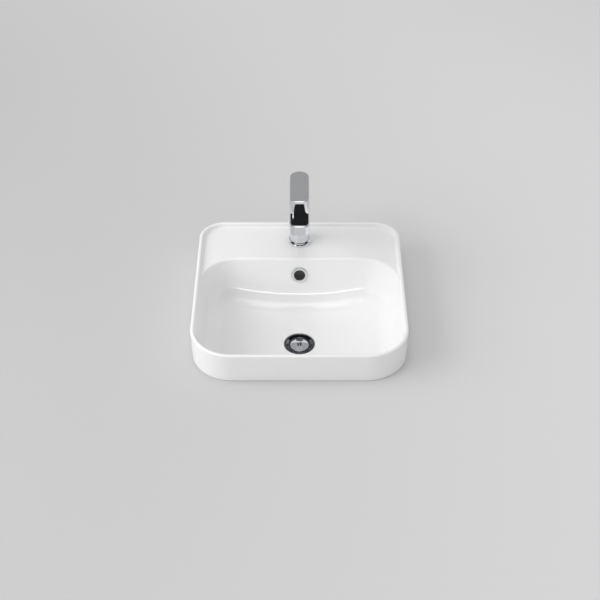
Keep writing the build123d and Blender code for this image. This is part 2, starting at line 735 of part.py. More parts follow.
def lever_handle():
    """Block lever over the spout, relieved behind so that it can tip, with a socket for the spindle."""
    handle = block_form(lever_reach, lever_floor, lever_top)
    behind = column_radius + lever_gap
    climb = math.tan(math.radians(lever_lift_limit + lever_relief_margin)) * (behind + lever_relief_start)
    relief = [(-lever_relief_start, lever_floor), (behind, lever_floor), (behind, lever_floor + climb)]
    handle -= side_profile(relief, 3 * column_radius)
    pocket_top = lever_floor + lever_pocket_depth
    handle -= tube(lever_pocket_radius, lever_boss_radius, lever_floor, pocket_top)
    core_back = -lever_pocket_radius - lever_wall
    core_length = lever_reach - lever_wall + core_back
    core = block(2 * (column_radius - lever_wall), core_length, lever_floor, lever_top - lever_wall)
    core = fillet(core.edges().filter_by(Axis.Z), lever_core_round)
    handle -= Pos(0, core_back - core_length / 2) * core
    socket_top = body_height + spindle_rise + static_gap
    handle -= block(spindle_width + 2 * static_gap, spindle_thickness + 2 * static_gap,
                    lever_floor, socket_top)
    handle -= screw_line(set_screw_radius, 0, 2 * column_radius)
    return on_ledge(handle - screw_line(screw_plug_radius, screw_plug_start(), 2 * column_radius))


def screw_plug_start():
    """Y of the plug's inner end behind the tap's axis."""
    return column_radius - screw_plug_recess - screw_plug_length


def screw_line(radius, start, end):
    """Cylinder along the set screw's line, between two distances behind the tap's axis."""
    middle = Pos(0, (start + end) / 2, body_height + screw_rise)
    return middle * Rot(90, 0, 0) * Cylinder(radius, end - start)


def lever_set_screw():
    """Grub screw that bears on the spindle, with its hexagon socket."""
    start = spindle_thickness / 2
    screw = screw_line(set_screw_radius, start, start + set_screw_length)
    key_hole = Rot(90, 0, 0) * extrude(RegularPolygon(1.25, 6, major_radius=False), amount=3, both=True)
    return on_ledge(screw - Pos(0, start + set_screw_length, body_height + screw_rise) * key_hole)


def lever_screw_plug():
    """Small plug that hides the grub screw."""
    start = screw_plug_start()
    return on_ledge(screw_line(screw_plug_radius, start, start + screw_plug_length))


def aerator_housing():
    """Threaded ring that holds the aerator in the spout."""
    low = spout_underside + aerator_recess
    inner = aerator_radius - static_gap - aerator_wall
    ring = tube(aerator_radius - static_gap, inner, low, low + aerator_height)
    keys = block(2 * aerator_radius + 2, spanner_slot_width, low, low + 1.2)
    return on_ledge(Pos(0, outlet_y) * (ring - keys))


def aerator_insert():
    """Plastic honeycomb that breaks up the stream."""
    low = spout_underside + aerator_recess + 1
    radius = aerator_radius - static_gap - aerator_wall
    insert = rod(radius, low, low + aerator_insert_height)
    insert -= rod(radius - 1, low + 2, low + aerator_insert_height)
    cells = []
    reach = int(radius / aerator_cell_pitch)
    for row in range(-reach, reach + 1):
        y = row * aerator_cell_pitch * math.sqrt(3) / 2
        for column in range(-reach, reach + 1):
            x = (column + (row % 2) / 2) * aerator_cell_pitch
            if math.hypot(x, y) < radius - 1 - aerator_cell_radius:
                cells.append(Pos(x, y) * rod(aerator_cell_radius, low, low + 2))
    return on_ledge(Pos(0, outlet_y) * (insert - cells))


def aerator_seal():
    """Rubber washer above the aerator."""
    low = spout_underside + aerator_recess + aerator_height
    outer = aerator_radius - static_gap
    seal = tube(outer, outer - aerator_seal_width, low, low + aerator_seal_thickness)
    return on_ledge(Pos(0, outlet_y) * seal)


pieces = [
    basin_body, overflow_ring,
    waste_body, waste_seat_gasket, waste_cone_gasket, waste_slip_washer, waste_backnut,
    popup_housing, popup_collar, popup_spring, plug_stem, plug_cap, plug_seal,
    tap_body, tap_base_ring, base_gasket, inlet_block, mounting_stud,
    horseshoe_gasket, horseshoe_plate, stud_nut,
    cartridge_gasket, cartridge_base, fixed_disc, moving_disc, disc_carrier,
    cartridge_turntable, spindle_pin, cartridge_spindle, cartridge_housing, cartridge_nut,
    lever_handle, lever_set_screw, lever_screw_plug,
    aerator_housing, aerator_insert, aerator_seal,
]

os.makedirs("parts", exist_ok=True)
for make in pieces:
    export_step(make(), f"parts/{make.__name__}.step")
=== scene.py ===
"""An inset basin with a lever mixer and a push-open waste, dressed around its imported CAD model."""

import json
import math

import bmesh
import bpy
from bpy.props import FloatProperty, FloatVectorProperty, PointerProperty
from bpy.types import Operator, Panel, PropertyGroup
from mathutils import Matrix, Vector
from mathutils.bvhtree import BVHTree


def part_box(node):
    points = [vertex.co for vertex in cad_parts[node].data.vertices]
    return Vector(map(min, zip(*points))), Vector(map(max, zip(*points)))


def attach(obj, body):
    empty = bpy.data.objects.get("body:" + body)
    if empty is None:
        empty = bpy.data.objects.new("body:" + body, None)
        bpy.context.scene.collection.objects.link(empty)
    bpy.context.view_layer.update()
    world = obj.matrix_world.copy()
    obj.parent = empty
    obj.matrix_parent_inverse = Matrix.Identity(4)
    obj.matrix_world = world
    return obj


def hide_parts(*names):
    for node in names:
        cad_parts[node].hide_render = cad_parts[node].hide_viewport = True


bl_info = {
    "name": "Inset basin",
    "version": (1, 0, 0),
    "blender": (4, 5, 0),
    "location": "View3D > Sidebar > Basin",
    "description": "Builds an inset ceramic basin with its lever mixer, overflow and push-open waste",
    "category": "Object",
}

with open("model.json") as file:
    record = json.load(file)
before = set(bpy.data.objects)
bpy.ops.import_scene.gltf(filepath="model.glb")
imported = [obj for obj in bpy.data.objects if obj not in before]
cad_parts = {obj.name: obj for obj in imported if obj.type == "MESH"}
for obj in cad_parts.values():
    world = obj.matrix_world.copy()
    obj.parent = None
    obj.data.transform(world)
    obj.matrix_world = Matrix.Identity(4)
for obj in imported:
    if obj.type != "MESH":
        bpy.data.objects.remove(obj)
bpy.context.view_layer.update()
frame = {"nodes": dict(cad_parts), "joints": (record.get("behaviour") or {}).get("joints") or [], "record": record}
BODY_OF = {node: body for body, nodes in frame["record"]["behaviour"]["bodies"].items() for node in nodes}
SLOT_OF = {part["node"]: part["material_slot"] for part in frame["record"]["subparts"]}

# Levels and places read from the frame, in metres
TAP_AXIS = Vector(frame["joints"][0]["pos_m"])
FLANGE_LOW, FLANGE_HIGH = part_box("waste_body")
WASTE_Y = (FLANGE_LOW.y + FLANGE_HIGH.y) / 2


def mm(value):
    """Millimetres to metres."""
    return value / 1000.0


def in_mm(value):
    """Metres to millimetres."""
    return value * 1000


WELD = mm(0.001)  # vertices closer than this become one


def colour(code):
    """An sRGB hex value as the linear colour that Blender's shaders take."""
    parts = [int(code[place:place + 2], 16) / 255 for place in (0, 2, 4)]
    return tuple(part / 12.92 if part <= 0.04045 else ((part + 0.055) / 1.055) ** 2.4 for part in parts)


def length(name, description, default):
    """A size in metres that shows in the sidebar."""
    return FloatProperty(name=name, description=description, default=default, min=0.0, unit="LENGTH",
                         precision=4)


def paint(name, description, code):
    """A colour that shows in the sidebar."""
    return FloatVectorProperty(name=name, description=description, default=colour(code), size=3, min=0.0,
                               max=1.0,
                               subtype="COLOR")


class BasinShape(PropertyGroup):
    """Sizes of the ceramic casting, as the CAD has them."""

    half_width: length("Half width", "Centre to the outer side face at the rim", mm(220))
    half_depth: length("Half depth", "Centre to the outer front face at the rim", mm(220))
    wall_height: length("Wall height", "Benchtop to the top of the rim", mm(68))
    wall_lean: length("Wall lean", "How far the foot is set in from the rim", mm(0.5))
    front_corner: length("Front corner", "Radius of the outer front corners", mm(86))
    back_corner: length("Back corner", "Radius of the outer back corners", mm(54))
    rim_width: length("Rim width", "Outer face to inner face at the top", mm(7))
    rim_round: length("Rim rounding", "Radius along both edges of the rim", mm(3))
    foot_round: length("Foot rounding", "Radius along the bottom edge of the wall", mm(3))
    lip: length("Lip", "Rim down to the tap ledge", mm(9))
    ledge_depth: length("Ledge depth", "Outer back face to the edge of the bowl", mm(122))
    ledge_round: length("Ledge rounding", "Radius where the ledge meets the wall and the bowl", mm(5))
    bowl_back_corner: length("Bowl back corner", "Radius of the bowl's back corners", mm(78))
    bowl_depth: length("Bowl depth", "Rim down to the lowest point", mm(119))
    floor_round: length("Floor rounding", "Radius between the bowl's walls and its floor", mm(55))
    floor_dish: length("Floor dish", "Radius of the floor's gentle dish", mm(700))
    draft: FloatProperty(name="Wall slope", description="Lean of the bowl's walls from upright",
                         default=math.radians(14), subtype="ANGLE")
    tap_hole: length("Tap opening", "Radius left open in the glazed ledge, under the tap's cover ring",
                     mm(20))
    overflow_hole: length("Overflow opening",
                          "Radius left open in the glazed wall, under the overflow ring", mm(15.4))
    waste_recess: length("Waste recess", "Radius of the recess that holds the waste's flange", mm(33))
    waste_seat: length("Waste seat", "Depth of that recess", mm(3.5))


class TapShape(PropertyGroup):
    """Sizes of the mixer, as the CAD has them."""

    block_width: length("Block width", "Width of the spout, the lever and the column", mm(42))
    nose: length("Nose radius", "Radius of the front corners in plan", mm(12))
    edge: length("Edge rounding", "Radius along the top edges of the spout and the lever", mm(2.5))
    spout_reach: length("Spout reach", "Tap's axis to the tip of the spout", mm(131))
    spout_thickness: length("Spout thickness", "Height of the spout's block", mm(22))
    lever_reach: length("Lever length", "Tap's axis to the tip of the lever", mm(90))
    lever_gap: length("Lever gap", "Shadow gap between the spout and the lever", mm(0.6))
    chamber: length("Chamber", "Radius of the cartridge nut's opening in the top of the spout", mm(14))
    relief_start: length("Relief start", "Where the lever's underside starts to climb, ahead of the axis",
                         mm(5))
    relief_angle: FloatProperty(name="Relief angle",
                                description="Climb of the lever's underside behind that",
                                default=math.radians(24), subtype="ANGLE")
    plug_opening: length("Screw plug opening", "Radius of the hole for the screw's plug", mm(3.2))
    plug_level: length("Screw plug level", "Height of that plug above the top of the spout", mm(17))


class WasteShape(PropertyGroup):
    """Sizes of the waste, the plug and the overflow ring, as the CAD has them."""

    flange: length("Flange", "Radius of the waste's flange", mm(32))
    plug: length("Plug", "Radius of the plug", mm(19.8))
    plug_crown: length("Plug crown", "Rise of the plug's dome", mm(1.4))
    ring: length("Overflow ring", "Outer radius of the overflow ring", mm(18))
    ring_bore: length("Overflow bore", "Inner radius of the overflow ring", mm(12))
    ring_thickness: length("Ring thickness", "How far the overflow ring stands off the wall", mm(2.6))


class Finishes(PropertyGroup):
    """Colours of the finishes."""

    glaze: paint("Glaze", "White opaque sanitary glaze", "F4F4F4")
    china: paint("Bare china", "Fired clay body where there is no glaze", "DEDBD5")
    # The overflow channel's colour is unglazed clay with painted shade: far darker than the bare china, standing
    # for the shade deep inside the overflow.
    channel: paint("Overflow channel", "Unglazed clay inside the overflow", "8A8A8A")
    chrome: paint("Chrome", "Bright chrome plate", "E3E5E8")
    # The flange colour is painted shade: the waste's chrome made darker than the plug's, standing for the shade in
    # the flange's deep cup.
    flange: paint("Flange", "Dark polished chrome of the waste's flange", "6A6D72")
    brass: paint("Brass", "Machined brass", "C9A869")
    zinc: paint("Zinc plate", "Bright zinc plate on steel", "B9BCC0")
    rubber: paint("Rubber", "Black EPDM rubber", "1B1B1C")
    acetal: paint("Acetal", "Natural acetal plastic", "E6E4DD")
    plug_grey: paint("Grey ABS", "Moulded grey plastic of the screw's plug", "8B8E92")
    alumina: paint("Alumina", "Lapped ceramic of the mixing discs", "EFEAE0")


class Studio(PropertyGroup):
    """The room that the basin is photographed in."""

    # The benchtop's colours are painted shade: darker near the key lamp and paler away from it, to even out the
    # key's fall-off.
    bench_painted_shade: paint("Benchtop, lamp side", "Pale surface under the basin, where the key falls on it",
                      "B8B8B8")
    bench_far: paint("Benchtop, far side", "The same surface away from the key", "F0F0F0")
    plain: FloatProperty(name="Plain light", description="Level of the even light on the piece",
                         default=0.63)
    mirrored: FloatProperty(name="Room level",
                            description="Brightness of the pale room that metal and glaze mirror",
                            default=0.80)


# Materials

def add_node(tree, kind, inputs=None, **settings):
    """One shader node of a kind, each input given as a value or as the socket that feeds it."""
    node = tree.nodes.new("ShaderNode" + kind)
    for name, value in settings.items():
        setattr(node, name, value)
    for name, value in (inputs or {}).items():
        if isinstance(value, bpy.types.NodeSocket):
            tree.links.new(value, node.inputs[name])
        else:
            node.inputs[name].default_value = value
    return node


def new_material(name):
    """A material with only its output, and the tree to fill."""
    material = bpy.data.materials.new(name)
    material.use_nodes = True
    material.node_tree.nodes.clear()
    return material, material.node_tree


def grain(tree, size, detail=2.0):
    """Noise over the piece's own coordinates, with features about as large as the size in metres."""
    place = add_node(tree, "TexCoord").outputs["Object"]
    return add_node(tree, "TexNoise",
                    {"Vector": place, "Scale": 1.0 / size, "Detail": detail}).outputs["Fac"]


def spread(tree, value, low, high):
    """A noise value from 0 to 1 mapped to a narrow range."""
    return add_node(tree, "MapRange",
                    {"Value": value, "From Min": 0.3, "From Max": 0.7, "To Min": low,
                                                 "To Max": high}).outputs["Result"]


def tint(tree, value, first, second):
    """A colour between two, chosen by a noise value."""
    mix = add_node(tree, "Mix", data_type="RGBA")
    tree.links.new(value, mix.inputs[0])
    mix.inputs[6].default_value = (*first, 1.0)
    mix.inputs[7].default_value = (*second, 1.0)
    return mix.outputs[2]


def scaled(shade, factor):
    """A colour made lighter or darker."""
    return tuple(min(1.0, part * factor) for part in shade)


def finish(tree, shader_inputs, bump=None, depth=0.0):
    """The shader and output that end every material, with a bump whose depth is in metres."""
    shader = add_node(tree, "BsdfPrincipled", shader_inputs)
    if bump is not None:
        normal = add_node(tree, "Bump", {"Height": bump, "Strength": 1.0, "Distance": depth})
        tree.links.new(normal.outputs["Normal"], shader.inputs["Normal"])
    add_node(tree, "OutputMaterial", {"Surface": shader.outputs["BSDF"]})


def sanitary_glaze(shades):
    """Vitreous china under a fired opaque white glaze: hard wet gloss that wanders very slightly."""
    material, tree = new_material("sanitary_glaze")
    wander = grain(tree, mm(38), 1.0)
    body = tint(tree, grain(tree, mm(90)), scaled(shades.glaze, 0.985), shades.glaze)
    finish(tree, {"Base Color": body, "Roughness": spread(tree, grain(tree, mm(55)), 0.055, 0.085),
                  "IOR": 1.52},
           wander, mm(0.05))
    return material


def bare_china(name, shade):
    """Fired clay body with no glaze, as on the foot and the hidden underside: matt, warm, finely sandy."""
    material, tree = new_material(name)
    sand = grain(tree, mm(0.9), 3.0)
    body = tint(tree, grain(tree, mm(14)), scaled(shade, 0.93), shade)
    finish(tree, {"Base Color": body, "Roughness": spread(tree, sand, 0.62, 0.8)}, sand, mm(0.05))
    return material


def chrome_plate(name, shade):
    """Polished brass or zinc under chrome: mirror gloss with the faintest polishing haze."""
    material, tree = new_material(name)
    haze = grain(tree, mm(9), 3.0)
    finish(tree, {"Base Color": (*shade, 1.0), "Metallic": 1.0,
                  "Roughness": spread(tree, haze, 0.035, 0.06)})
    return material


def machined_brass(shades):
    """Bar brass turned on a lathe: warm metal, fine tool marks, a little tarnish in patches."""
    material, tree = new_material("machined_brass")
    marks = grain(tree, mm(0.6), 2.0)
    body = tint(tree, grain(tree, mm(6)), scaled(shades.brass, 0.82), shades.brass)
    finish(tree, {"Base Color": body, "Metallic": 1.0, "Roughness": spread(tree, marks, 0.24, 0.36)}, marks,
           mm(0.015))
    return material


def zinc_plated_steel(shades):
    """Pressed or turned steel with bright zinc: cool grey, slightly cloudy, soft gloss."""
    material, tree = new_material("zinc_plated_steel")
    cloud = grain(tree, mm(3), 3.0)
    body = tint(tree, cloud, scaled(shades.zinc, 0.85), shades.zinc)
    finish(tree, {"Base Color": body, "Metallic": 1.0, "Roughness": spread(tree, cloud, 0.28, 0.42)},
           grain(tree, mm(0.8)), mm(0.01))
    return material


def moulded_rubber(shades):
    """Black EPDM from a mould: matt with a fine even grain and pale bloom."""
    material, tree = new_material("moulded_rubber")
    bloom = tint(tree, grain(tree, mm(5)), shades.rubber, scaled(shades.rubber, 1.8))
    skin = grain(tree, mm(0.7))
    finish(tree, {"Base Color": bloom, "Roughness": spread(tree, skin, 0.62, 0.78)}, skin, mm(0.02))
    return material


def moulded_plastic(name, shade, low, high):
    """Moulded plastic: even colour, faint flow marks, satin skin."""
    material, tree = new_material(name)
    flow = grain(tree, mm(4))
    body = tint(tree, flow, scaled(shade, 0.95), shade)
    finish(tree, {"Base Color": body, "Roughness": spread(tree, flow, low, high)}, grain(tree, mm(0.9)),
           mm(0.008))
    return material


def lapped_alumina(shades):
    """Sintered alumina, ground and lapped flat: warm white, dense, satin to bright."""
    material, tree = new_material("lapped_alumina")
    body = tint(tree, grain(tree, mm(2)), scaled(shades.alumina, 0.96), shades.alumina)
    finish(tree, {"Base Color": body, "Roughness": spread(tree, grain(tree, mm(0.5)), 0.16, 0.24),
                  "IOR": 1.76})
    return material


def finishes():
    """Every finish by the record's material slot, made once."""
    shades = bpy.context.scene.basin_finishes
    if "sanitary_glaze" not in bpy.data.materials:
        sanitary_glaze(shades)
        bare_china("bare_china", shades.china)
        # The overflow channel's clay is painted darker here, as shade deep inside the overflow.
        bare_china("channel_clay_painted_shade", shades.channel)
        chrome_plate("bright_chrome", shades.chrome)
        # A copy of the chrome with painted shade, for the waste's flange.
        chrome_plate("shade_darkened_chrome", shades.flange)
        machined_brass(shades)
        zinc_plated_steel(shades)
        moulded_rubber(shades)
        moulded_plastic("natural_acetal", shades.acetal, 0.36, 0.48)
        moulded_plastic("grey_abs", shades.plug_grey, 0.3, 0.42)
        lapped_alumina(shades)
    names = {"white_ceramic": "sanitary_glaze", "tap_chrome": "bright_chrome",
             "waste_chrome": "bright_chrome",
             "ring_chrome": "bright_chrome", "brass": "machined_brass", "steel": "zinc_plated_steel",
             "rubber": "moulded_rubber", "plastic": "natural_acetal", "grey_plastic": "grey_abs",
             "disc_ceramic": "lapped_alumina"}
    return {slot: bpy.data.materials[name] for slot, name in names.items()}


# Meshes

def cad_copy(node):
    """A CAD node's loose triangles as one welded surface."""
    form = bmesh.new()
    form.from_mesh(frame["nodes"][node].data)
    bmesh.ops.remove_doubles(form, verts=form.verts, dist=WELD)
    return form


def without(form, skin, reach=mm(0.6)):
    """Take off the faces that a finer skin lies on."""
    tree = BVHTree.FromBMesh(skin)
    covered = []
    form.normal_update()
    for face in form.faces:
        near, normal, _, _ = tree.find_nearest(face.calc_center_median(), reach)
        if near is not None and normal.dot(face.normal) > 0.7:
            covered.append(face)
    bmesh.ops.delete(form, geom=covered, context="FACES")
    return form


def joined(form, skin, material_index=0):
    """Both surfaces in one form; the added one takes the given material."""
    for face in form.faces:
        face.material_index = material_index
    mesh = bpy.data.meshes.new("joining")
    skin.to_mesh(mesh)
    form.from_mesh(mesh)
    bpy.data.meshes.remove(mesh)
    skin.free()
    return form


def level_normals(mesh, flat_area=mm(14) ** 2, crease=math.radians(38)):
    """Shade a mesh smooth across roundings, with its flats kept flat and its edges kept crisp."""
    around = {}
    faces = mesh.polygons
    for face in faces:
        for corner in face.vertices:
            around.setdefault(corner, []).append(face.index)
    limit = math.cos(crease)
    normals = [face.normal.copy() for face in faces]
    areas = [face.area for face in faces]
    found = []
    for face in faces:
        own = normals[face.index]
        for corner in face.vertices:
            total = Vector()
            flat = Vector()
            for other in around[corner]:
                if own.dot(normals[other]) > limit:
                    total += normals[other]
                    if areas[other] > flat_area:
                        flat += normals[other]
            found.append((flat if flat.length > 0.5 else total).normalized())
    for face in faces:
        face.use_smooth = True
    mesh.normals_split_custom_set(found)


def place_piece(name, form, node, materials, shaded=True):
    """Turn a form into a piece that rides with its CAD node's body and stands for that node."""
    mesh = bpy.data.meshes.new(name)
    form.to_mesh(mesh)
    form.free()
    piece = bpy.data.objects.new(name, mesh)
    bpy.context.scene.collection.objects.link(piece)
    for material in materials:
        mesh.materials.append(material)
    if shaded:
        level_normals(mesh)
    else:
        for face in mesh.polygons:
            face.use_smooth = True
    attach(piece, BODY_OF[node])
    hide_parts(node)
    return piece


def turned(profile, segments=96):
    """A surface turned about Z from points given as radius and height in millimetres."""
    form = bmesh.new()
    corners = [form.verts.new((mm(radius), 0, mm(level))) for radius, level in profile]
    edges = [form.edges.new(pair) for pair in zip(corners, corners[1:])]
    bmesh.ops.spin(form, geom=corners + edges, axis=(0, 0, 1), cent=(0, 0, 0), angle=math.tau,
                   steps=segments,
                   use_merge=True)
    bmesh.ops.remove_doubles(form, verts=form.verts, dist=WELD)
    bmesh.ops.recalc_face_normals(form, faces=form.faces)
    return form


def eased(profile, steps=4):
    """A profile in which each corner given as (radius, level, rounding) becomes a small arc."""
    smooth = []
    last = len(profile) - 1
    for index, point in enumerate(profile):
        here = Vector(point[:2])
        rounding = point[2] if len(point) > 2 else 0.0
        if not rounding or index in (0, last):
            smooth.append(tuple(here))
            continue
        smooth += [tuple(spot) for spot in corner_arc(Vector(profile[index - 1][:2]), here,
                                                      Vector(profile[index + 1][:2]), rounding, rounding,
                                                      steps)]
    return smooth


def corner_arc(before, corner, after, reach_in, reach_out, steps):
    """Points of a rounding that leaves one line and joins the next, by how far along each it reaches."""
    way_in = (corner - before).normalized()
    way_out = (after - corner).normalized()
    turn = way_in.angle(way_out, 0.0)
    handle = 4 / 3 * math.tan(turn / 4) / math.tan(turn / 2) if turn > 1e-4 else 2 / 3
    knots = (corner - way_in * reach_in, corner - way_in * reach_in * (1 - handle),
             corner + way_out * reach_out * (1 - handle), corner + way_out * reach_out)
    return [bend(knots, step / steps) for step in range(steps + 1)]


def bend(knots, part):
    """A point on a cubic curve."""
    rest = 1 - part
    return (knots[0] * rest ** 3 + knots[1] * (3 * rest * rest * part) + knots[2] * (3 * rest * part * part)
            + knots[3] * part ** 3)


def open_hole(form, centre, axis, radius, within):
    """Cut a round hole through a surface and draw its ragged edge in to the circle."""
    def off_axis(place):
        away = place - centre
        return away - axis * away.dot(axis)
    inside = {vert for vert in form.verts
              if off_axis(vert.co).length < radius and abs((vert.co - centre).dot(axis)) < within}
    doomed = [face for face in form.faces if any(vert in inside for vert in face.verts)]
    edge = {vert for face in doomed for vert in face.verts if vert not in inside}
    bmesh.ops.delete(form, geom=doomed, context="FACES")
    for vert in edge:
        if vert.is_valid and vert.is_boundary:
            away = off_axis(vert.co)
            vert.co += away.normalized() * (radius - away.length)


# The ceramic casting

FOOT_INSIDE = mm(20)  # how far the skin runs in under the wall
LEDGE_END = mm(30)  # level on the bowl's wall where the ledge's faces end
NO_LEDGE = mm(6)  # ledges narrower than this share out their faces evenly
LEDGE_FADE = mm(34)  # how much wider a ledge is when its faces follow its shape
LEDGE_FACES = (2, 7, 15, 8, 6)  # lip, its rounding, ledge, the bowl's edge, upper wall
FRONT_FACES = (22, 24, 34)  # along each side, round each front corner, across the front
WALL_FACES = 7  # up the outer wall, and down the bowl's wall
ROUND_FACES = 14  # round the bowl's large rounding
FLOOR_FACES = 24  # across the floor to the waste
BRINK_ROUND = mm(0.8)  # rounding at the edge of the waste's recess
OVERFLOW_LEVEL = mm(21.5)  # middle of the overflow above the benchtop
CHANNEL_HALF_WIDTH = mm(22.4)  # of the overflow channel, just past its walls
CHANNEL_BACK = mm(-22.6)  # its far wall, from the ring's seat along the ring's axis
CHANNEL_FRONT = mm(-7.7)  # its near wall
CUT_DEPTH = mm(6)  # how far either side of a surface a hole is cut
CASTING_CREASE = math.radians(34)
LEAST_GLAZED_FACES = 1000


def outline(shape, inset, counts):
    """Points and outward directions round the front half of a plan, from right to left."""
    side, nose, front_straight = counts
    half_width = shape.half_width - inset
    front = -shape.half_depth + inset
    radius = shape.front_corner - inset
    start = back_start(shape)
    right = [(Vector((half_width, start + (front + radius - start) * step / side, 0)), Vector((1, 0, 0)))
             for step in range(side)]
    for step in range(nose):
        turn = -math.pi / 2 * step / nose
        way = Vector((math.cos(turn), math.sin(turn), 0))
        right.append((Vector((half_width - radius, front + radius, 0)) + way * radius, way))
    straight = [(Vector(((half_width - radius) * (1 - 2 * step / front_straight), front, 0)),
                 Vector((0, -1, 0)))
                for step in range(front_straight + 1)]
    return right + straight + flipped(reversed(right))


def flipped(points):
    """Points and directions of a plan, moved over to its other side."""
    return [(Vector((-place.x, place.y, 0)), Vector((-way.x, way.y, 0))) for place, way in points]


def back_start(shape):
    """Y where the bowl's back corners begin."""
    return shape.half_depth - shape.ledge_depth - shape.bowl_back_corner


def side_path(half_width, back, radius, start):
    """The right half of a plan's back: a function from distance to place and way out, and its length."""
    straight = back - radius - start
    arc = radius * math.pi / 2
    total = straight + arc + half_width - radius

    def at(distance):
        if distance <= straight:
            return Vector((half_width, start + distance, 0)), Vector((1, 0, 0))
        if distance <= straight + arc:
            turn = (distance - straight) / radius
            way = Vector((math.cos(turn), math.sin(turn), 0))
            return Vector((half_width - radius, back - radius, 0)) + way * radius, way
        return Vector((half_width - radius - (distance - straight - arc), back, 0)), Vector((0, 1, 0))
    return at, total


def smooth_step(value):
    """Ease from 0 to 1."""
    value = max(0.0, min(1.0, value))
    return value * value * (3 - 2 * value)


def resample(points, knots, counts):
    """Points along a polyline, with a given count between each pair of distances."""
    marks = [0.0]
    for first, second in zip(points, points[1:]):
        marks.append(marks[-1] + (second - first).length)
    picked = []
    for (low, high), count in zip(zip(knots, knots[1:]), counts):
        picked += [low + (high - low) * step / count for step in range(count)]
    picked.append(knots[-1])
    placed = []
    index = 0
    for distance in picked:
        while index < len(points) - 2 and marks[index + 1] < distance:
            index += 1
        span = marks[index + 1] - marks[index]
        placed.append(points[index].lerp(points[index + 1],
                                         (distance - marks[index]) / span if span else 0.0))
    return placed


def bowl_meridian(shape, outer, way, bowl, bowl_way):
    """The casting's visible surface along one line, from the foot over the rim to the waste's recess."""
    top = shape.wall_height
    ledge = top - shape.lip
    slope = math.tan(shape.draft)
    tuck = math.tan((math.pi / 2 - shape.draft) / 2)
    lean = shape.wall_lean
    up = Vector((0, 0, 1))

    def wall(level):
        return outer - way * (shape.rim_width + (top - level) * slope) + up * level

    def lower(level):
        return bowl - bowl_way * ((ledge - level) * slope) + up * level

    foot = outer - way * lean
    lean_angle = math.atan(lean / top)
    foot_reach = shape.foot_round * math.tan((math.pi / 2 - lean_angle) / 2)
    line = corner_arc(foot - way * FOOT_INSIDE, foot, outer + up * top, foot_reach, foot_reach, 5)
    wall_low = line[-1]
    rim_out = shape.rim_round * math.tan((math.pi / 2 + lean_angle) / 2)
    rim_arc = corner_arc(foot, outer + up * top, outer + up * top - way, rim_out, rim_out, 9)
    line += [wall_low.lerp(rim_arc[0], step / WALL_FACES) for step in range(1, WALL_FACES)] + rim_arc
    inner = outer + up * top - way * shape.rim_width
    rim_in = shape.rim_round * tuck
    inner_arc = corner_arc(inner + way, inner, wall(ledge), rim_in, rim_in, 8)
    line += [rim_arc[-1].lerp(inner_arc[0], 0.5)] + inner_arc

    # from the lip over the ledge to the bowl's upper wall; where there is no ledge it is one straight wall
    start = inner_arc[-1]
    end = lower(LEDGE_END)
    deck_out, deck_in = wall(ledge), lower(ledge)
    gap = (deck_in - deck_out).length
    reach = shape.ledge_round * tuck
    if gap > mm(0.05):
        across = (deck_in - deck_out) / gap
        lip_reach = reach / max(0.2, across.dot(-way))
        bowl_reach = reach / max(0.2, across.dot(-bowl_way))
        share = min(1.0, 0.96 * gap / (lip_reach + bowl_reach))
        lip_arc = corner_arc(start, deck_out, deck_in, reach * share, lip_reach * share, 12)
        edge_arc = corner_arc(deck_out, deck_in, end, bowl_reach * share, reach * share, 12)
        dense = [start] + lip_arc + edge_arc + [end]
        parts = [[start, lip_arc[0]], lip_arc, [lip_arc[-1], edge_arc[0]], edge_arc, [edge_arc[-1], end]]
    else:
        dense = [start, deck_out, end]
        parts = None
    total = sum((second - first).length for first, second in zip(dense, dense[1:]))
    counts = LEDGE_FACES
    even = [total * sum(counts[:step]) / sum(counts) for step in range(len(counts) + 1)]
    knots = even
    if parts:
        lengths = [sum((b - a).length for a, b in zip(part, part[1:])) for part in parts]
        true = [sum(lengths[:step]) for step in range(len(lengths) + 1)]
        blend = smooth_step((gap - NO_LEDGE) / LEDGE_FADE)
        knots = [plain * (1 - blend) + real * blend for plain, real in zip(even, true)]
    line += resample(dense, knots, counts)[1:]

    # the bowl's wall, its large rounding and the dished floor
    centre = Vector((0, WASTE_Y, 0))
    floor = top - shape.bowl_depth
    dish = shape.floor_dish

    def on_dish(place):
        away = Vector((place.x, place.y, 0)) - centre
        return Vector((place.x, place.y, floor + dish - math.sqrt(dish ** 2 - away.length_squared)))
    level = floor
    for _ in range(12):
        level = on_dish(lower(level)).z
    corner = lower(level)
    inward = -bowl_way
    down = (lower(level) - lower(level + mm(10))).normalized()
    ahead = (on_dish(corner + inward * mm(2)) - on_dish(corner)).normalized()
    reach = shape.floor_round * math.tan(down.angle(ahead) / 2)
    landing = on_dish(corner + inward * reach)
    tangent = (on_dish(landing + inward * mm(1)) - landing).normalized()
    turn = down.angle(tangent)
    handle = reach * 4 / 3 * math.tan(turn / 4) / math.tan(turn / 2)
    rise = corner - down * reach
    line += [end.lerp(rise, step / WALL_FACES) for step in range(1, WALL_FACES)]
    curve = (rise, rise + down * handle, landing - tangent * handle, landing)
    line += [bend(curve, step / ROUND_FACES) for step in range(ROUND_FACES + 1)]
    flat = Vector((landing.x, landing.y, 0)) - centre
    brink = centre + flat.normalized() * (shape.waste_recess + BRINK_ROUND)
    floor_start = Vector((landing.x, landing.y, 0))
    line += [on_dish(floor_start.lerp(brink, (step / FLOOR_FACES) ** 0.9))
             for step in range(1, FLOOR_FACES + 1)]
    edge = on_dish(centre + flat.normalized() * shape.waste_recess)
    line += corner_arc(line[-2], edge, edge - up, BRINK_ROUND, BRINK_ROUND, 4)[1:]
    line.append(Vector((edge.x, edge.y, floor - shape.waste_seat + mm(0.05))))
    return line


